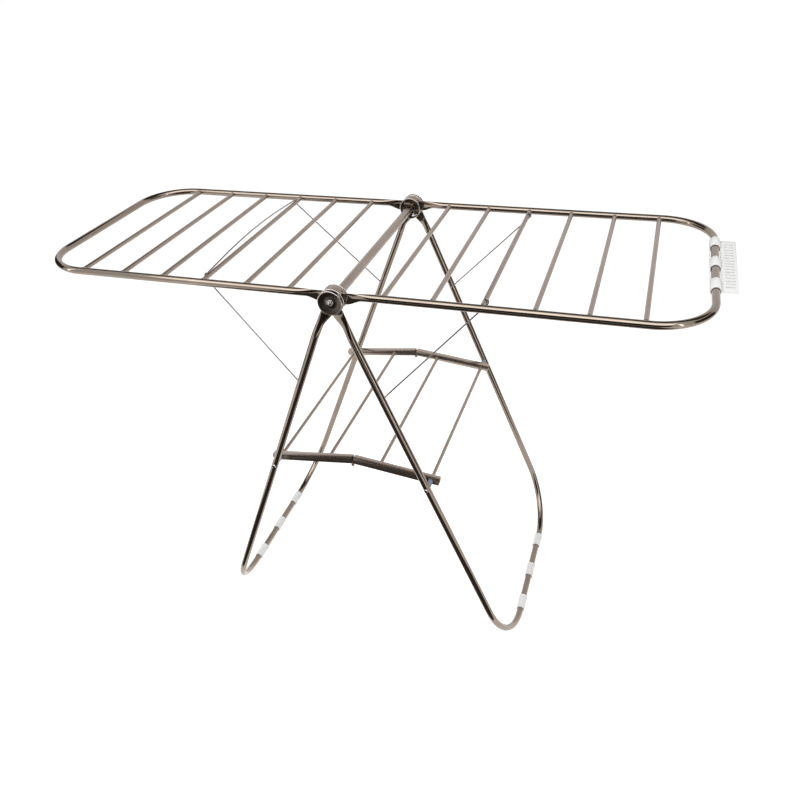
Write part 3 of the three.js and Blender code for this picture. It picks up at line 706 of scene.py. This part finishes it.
def sleeve(node):
    """One closed sleeve round its bar, with a waist between two lips and a bore of real radius."""
    low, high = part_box(node)
    middle = (low + high) / 2
    outer = (high.z - low.z) / 2
    bore = TUBE_RADIUS + FIT
    profile = [
        (low.y, bore),
        (low.y, outer - LIP_EDGE),
        (low.y + LIP_EDGE, outer),
        (low.y + LIP_LENGTH, outer),
        (low.y + LIP_LENGTH + WAIST, outer - WAIST),
        (high.y - LIP_LENGTH - WAIST, outer - WAIST),
        (high.y - LIP_LENGTH, outer),
        (high.y - LIP_EDGE, outer),
        (high.y, outer - LIP_EDGE),
        (high.y, bore),
    ]
    rings = []
    for y, radius in profile:
        corner = radius / math.cos(math.pi / FOOT_FLATS)
        turns = [2 * math.pi * (j + 0.5) / FOOT_FLATS for j in range(FOOT_FLATS)]
        rings.append(
            [Vector((middle.x + corner * math.cos(t), y, middle.z + corner * math.sin(t)))
             for t in reversed(turns)]
        )
    return skin(rings, closed=True)


for side in ("left", "right"):
    verts, faces = [], []
    for i in range(FEET):
        part_verts, part_faces = sleeve(f"foot_sleeve_{side}_{i + 1}")
        faces += [tuple(v + len(verts) for v in face) for face in part_faces]
        verts += [tuple(v) for v in part_verts]
    make_piece(
        f"foot_sleeves_{side}",
        verts,
        faces,
        white_plastic,
        f"leg_{side}",
        "white_plastic",
        [f"foot_sleeve_{side}_{i + 1}" for i in range(FEET)],
    )

# ---- hanger comb ----
# A moulded plate with a row of slots for clothes hangers. Three open rings snap it on to the end
# bar of the right wing, and it turns on that bar.
comb_plastic = white_plastic.copy()
comb_plastic.name = "Comb Plastic"
comb_tree = comb_plastic.node_tree
comb_shader = comb_tree.nodes["Principled BSDF"]
comb_tint = comb_shader.inputs["Base Color"].links[0].from_socket
# Ambient occlusion darkens the comb's base colour to dark grey in its slots and crevices: this is painted
# shade.
cavity = comb_tree.nodes.new("ShaderNodeAmbientOcclusion")
cavity.inputs["Distance"].default_value = 6 * MM
cavity.samples = 8
crevice = comb_tree.nodes.new("ShaderNodeMapRange")
crevice.inputs["From Min"].default_value = 0.35
crevice.inputs["From Max"].default_value = 0.95
painted_slot_shade = comb_tree.nodes.new("ShaderNodeMix")
painted_slot_shade.data_type = "RGBA"
painted_slot_shade.inputs["A"].default_value = (0.2, 0.2, 0.21, 1.0)
comb_tree.links.new(cavity.outputs["AO"], crevice.inputs["Value"])
comb_tree.links.new(crevice.outputs["Result"], painted_slot_shade.inputs["Factor"])
comb_tree.links.new(comb_tint, painted_slot_shade.inputs["B"])
comb_tree.links.new(painted_slot_shade.outputs["Result"], comb_shader.inputs["Base Color"])
dress("hanger_comb", comb_plastic, MOULDED_EDGE)

# ---- floor, light and camera ----
# A plain pale floor and a pale surround, lit softly from above and from both sides. Dark cards
# beside the rack give the polished tube its dark bands.
floor_material = bpy.data.materials.new("Pale Floor")
floor_material.use_nodes = True
floor_material.node_tree.nodes["Principled BSDF"].inputs["Base Color"].default_value = (
    0.92, 0.92, 0.92, 1.0,
)
floor_material.node_tree.nodes["Principled BSDF"].inputs["Roughness"].default_value = 0.9
FLOOR_SIZE = 30.0
FLOOR_LIFT = 0.6
floor_tree = floor_material.node_tree
floor_path = floor_tree.nodes.new("ShaderNodeLightPath")
seen_or_mirrored = math_node(
    floor_tree, "MAXIMUM", floor_path.outputs["Is Camera Ray"], floor_path.outputs["Is Glossy Ray"]
)
seen_at_all = math_node(
    floor_tree, "MAXIMUM", seen_or_mirrored, floor_path.outputs["Is Transmission Ray"]
)
lift = math_node(floor_tree, "MULTIPLY", seen_at_all, FLOOR_LIFT)
floor_shader = floor_tree.nodes["Principled BSDF"]
floor_shader.inputs["Emission Color"].default_value = (1.0, 1.0, 1.0, 1.0)
floor_tree.links.new(lift, floor_shader.inputs["Emission Strength"])
bpy.ops.mesh.primitive_plane_add(size=FLOOR_SIZE, location=(0, 0, 0))
floor = bpy.context.object
floor.name = "Floor"
floor.data.materials.append(floor_material)

world = bpy.data.worlds.new("Pale Surround")
bpy.context.scene.world = world
world.use_nodes = True
tree = world.node_tree
lit = tree.nodes["Background"]
lit.inputs["Color"].default_value = (1.0, 0.99, 0.98, 1.0)
lit.inputs["Strength"].default_value = 0.4
seen = tree.nodes.new("ShaderNodeBackground")
seen.inputs["Color"].default_value = (1.0, 1.0, 1.0, 1.0)
seen.inputs["Strength"].default_value = 1.0
path = tree.nodes.new("ShaderNodeLightPath")
blend = tree.nodes.new("ShaderNodeMixShader")
mirrored = math_node(tree, "MAXIMUM", path.outputs["Is Camera Ray"], path.outputs["Is Glossy Ray"])
direct = math_node(tree, "MAXIMUM", mirrored, path.outputs["Is Transmission Ray"])
tree.links.new(direct, blend.inputs["Fac"])
tree.links.new(lit.outputs[0], blend.inputs[1])
tree.links.new(seen.outputs[0], blend.inputs[2])
tree.links.new(blend.outputs[0], tree.nodes["World Output"].inputs["Surface"])


def strip_lamp(name, place, target, width, height, power):
    """A long soft lamp, which polished tube shows as one bright line."""
    data = bpy.data.lights.new(name, "AREA")
    data.shape = "RECTANGLE"
    data.size = width
    data.size_y = height
    data.energy = power
    lamp = bpy.data.objects.new(name, data)
    lamp.location = place
    lamp.rotation_euler = (Vector(target) - Vector(place)).to_track_quat("-Z", "Y").to_euler()
    bpy.context.collection.objects.link(lamp)


OBJECT_MIDDLE = (0, 0, 0.6)
strip_lamp("Overhead", (0, -1.5, 2.9), OBJECT_MIDDLE, 4.2, 1.9, 62)
strip_lamp("Left Strip", (-3.0, -1.6, 1.6), OBJECT_MIDDLE, 0.3, 2.6, 11)
strip_lamp("Right Strip", (3.0, -2.0, 1.6), OBJECT_MIDDLE, 0.25, 2.6, 9)

# Dark cards stand outside the view, as beside any polished metal that is lit in a white room, and
# only its reflections show them.
card_material = bpy.data.materials.new("Dark Card")
card_material.use_nodes = True
card_shader = card_material.node_tree.nodes["Principled BSDF"]
card_shader.inputs["Base Color"].default_value = (0.06, 0.051, 0.045, 1.0)
card_shader.inputs["Roughness"].default_value = 1.0


def dark_card(name, corners):
    mesh = bpy.data.meshes.new(name)
    mesh.from_pydata(corners, [], [(0, 1, 2, 3)])
    mesh.materials.append(card_material)
    card = bpy.data.objects.new(name, mesh)
    bpy.context.collection.objects.link(card)
    card.visible_camera = False
    card.visible_diffuse = False
    card.visible_shadow = False
    card.visible_transmission = False


dark_card("card_front", [(-2.2, -4.5, 0), (3.6, -4.5, 0), (3.6, -4.2, 3.4), (-2.2, -4.2, 3.4)])
dark_card("card_low", [(-1.1, -3.4, 0.01), (1.4, -3.4, 0.01), (1.2, -0.36, 0.01), (-0.9, -0.36, 0.01)])
dark_card("card_above", [(-3.5, 0.4, 3.6), (3.5, 0.4, 3.6), (3.5, 2.6, 3.2), (-3.5, 2.6, 3.2)])
dark_card("card_left", [(-4, -1.0, 0), (-4, 2.2, 0), (-4, 2.2, 2.8), (-4, -1.0, 2.8)])
dark_card("card_right", [(4, -1.0, 0), (4, 2.2, 0), (4, 2.2, 2.8), (4, -1.0, 2.8)])

CAMERA_FROM_HUB = Vector((0.5864, -1.5478, 0.6811))
CAMERA_AT = hub + CAMERA_FROM_HUB
CAMERA_YAW, CAMERA_PITCH, CAMERA_ROLL = -0.3443, 0.5829, 0.0632
LENS_MM = 35.49
forward = Vector((
    math.sin(CAMERA_YAW) * math.cos(CAMERA_PITCH),
    math.cos(CAMERA_YAW) * math.cos(CAMERA_PITCH),
    -math.sin(CAMERA_PITCH),
))
level = Vector((math.cos(CAMERA_YAW), -math.sin(CAMERA_YAW), 0))
down = forward.cross(level)
right = math.cos(CAMERA_ROLL) * level + math.sin(CAMERA_ROLL) * down
below = -math.sin(CAMERA_ROLL) * level + math.cos(CAMERA_ROLL) * down
camera_data = bpy.data.cameras.new("Camera")
camera_data.lens = LENS_MM
camera_data.sensor_width = 36.0
camera = bpy.data.objects.new("Camera", camera_data)
camera.matrix_world = Matrix.Translation(CAMERA_AT) @ Matrix(
    (right, -below, -forward)
).transposed().to_4x4()
bpy.context.collection.objects.link(camera)
bpy.context.scene.camera = camera
bpy.context.scene.view_settings.view_transform = "Standard"
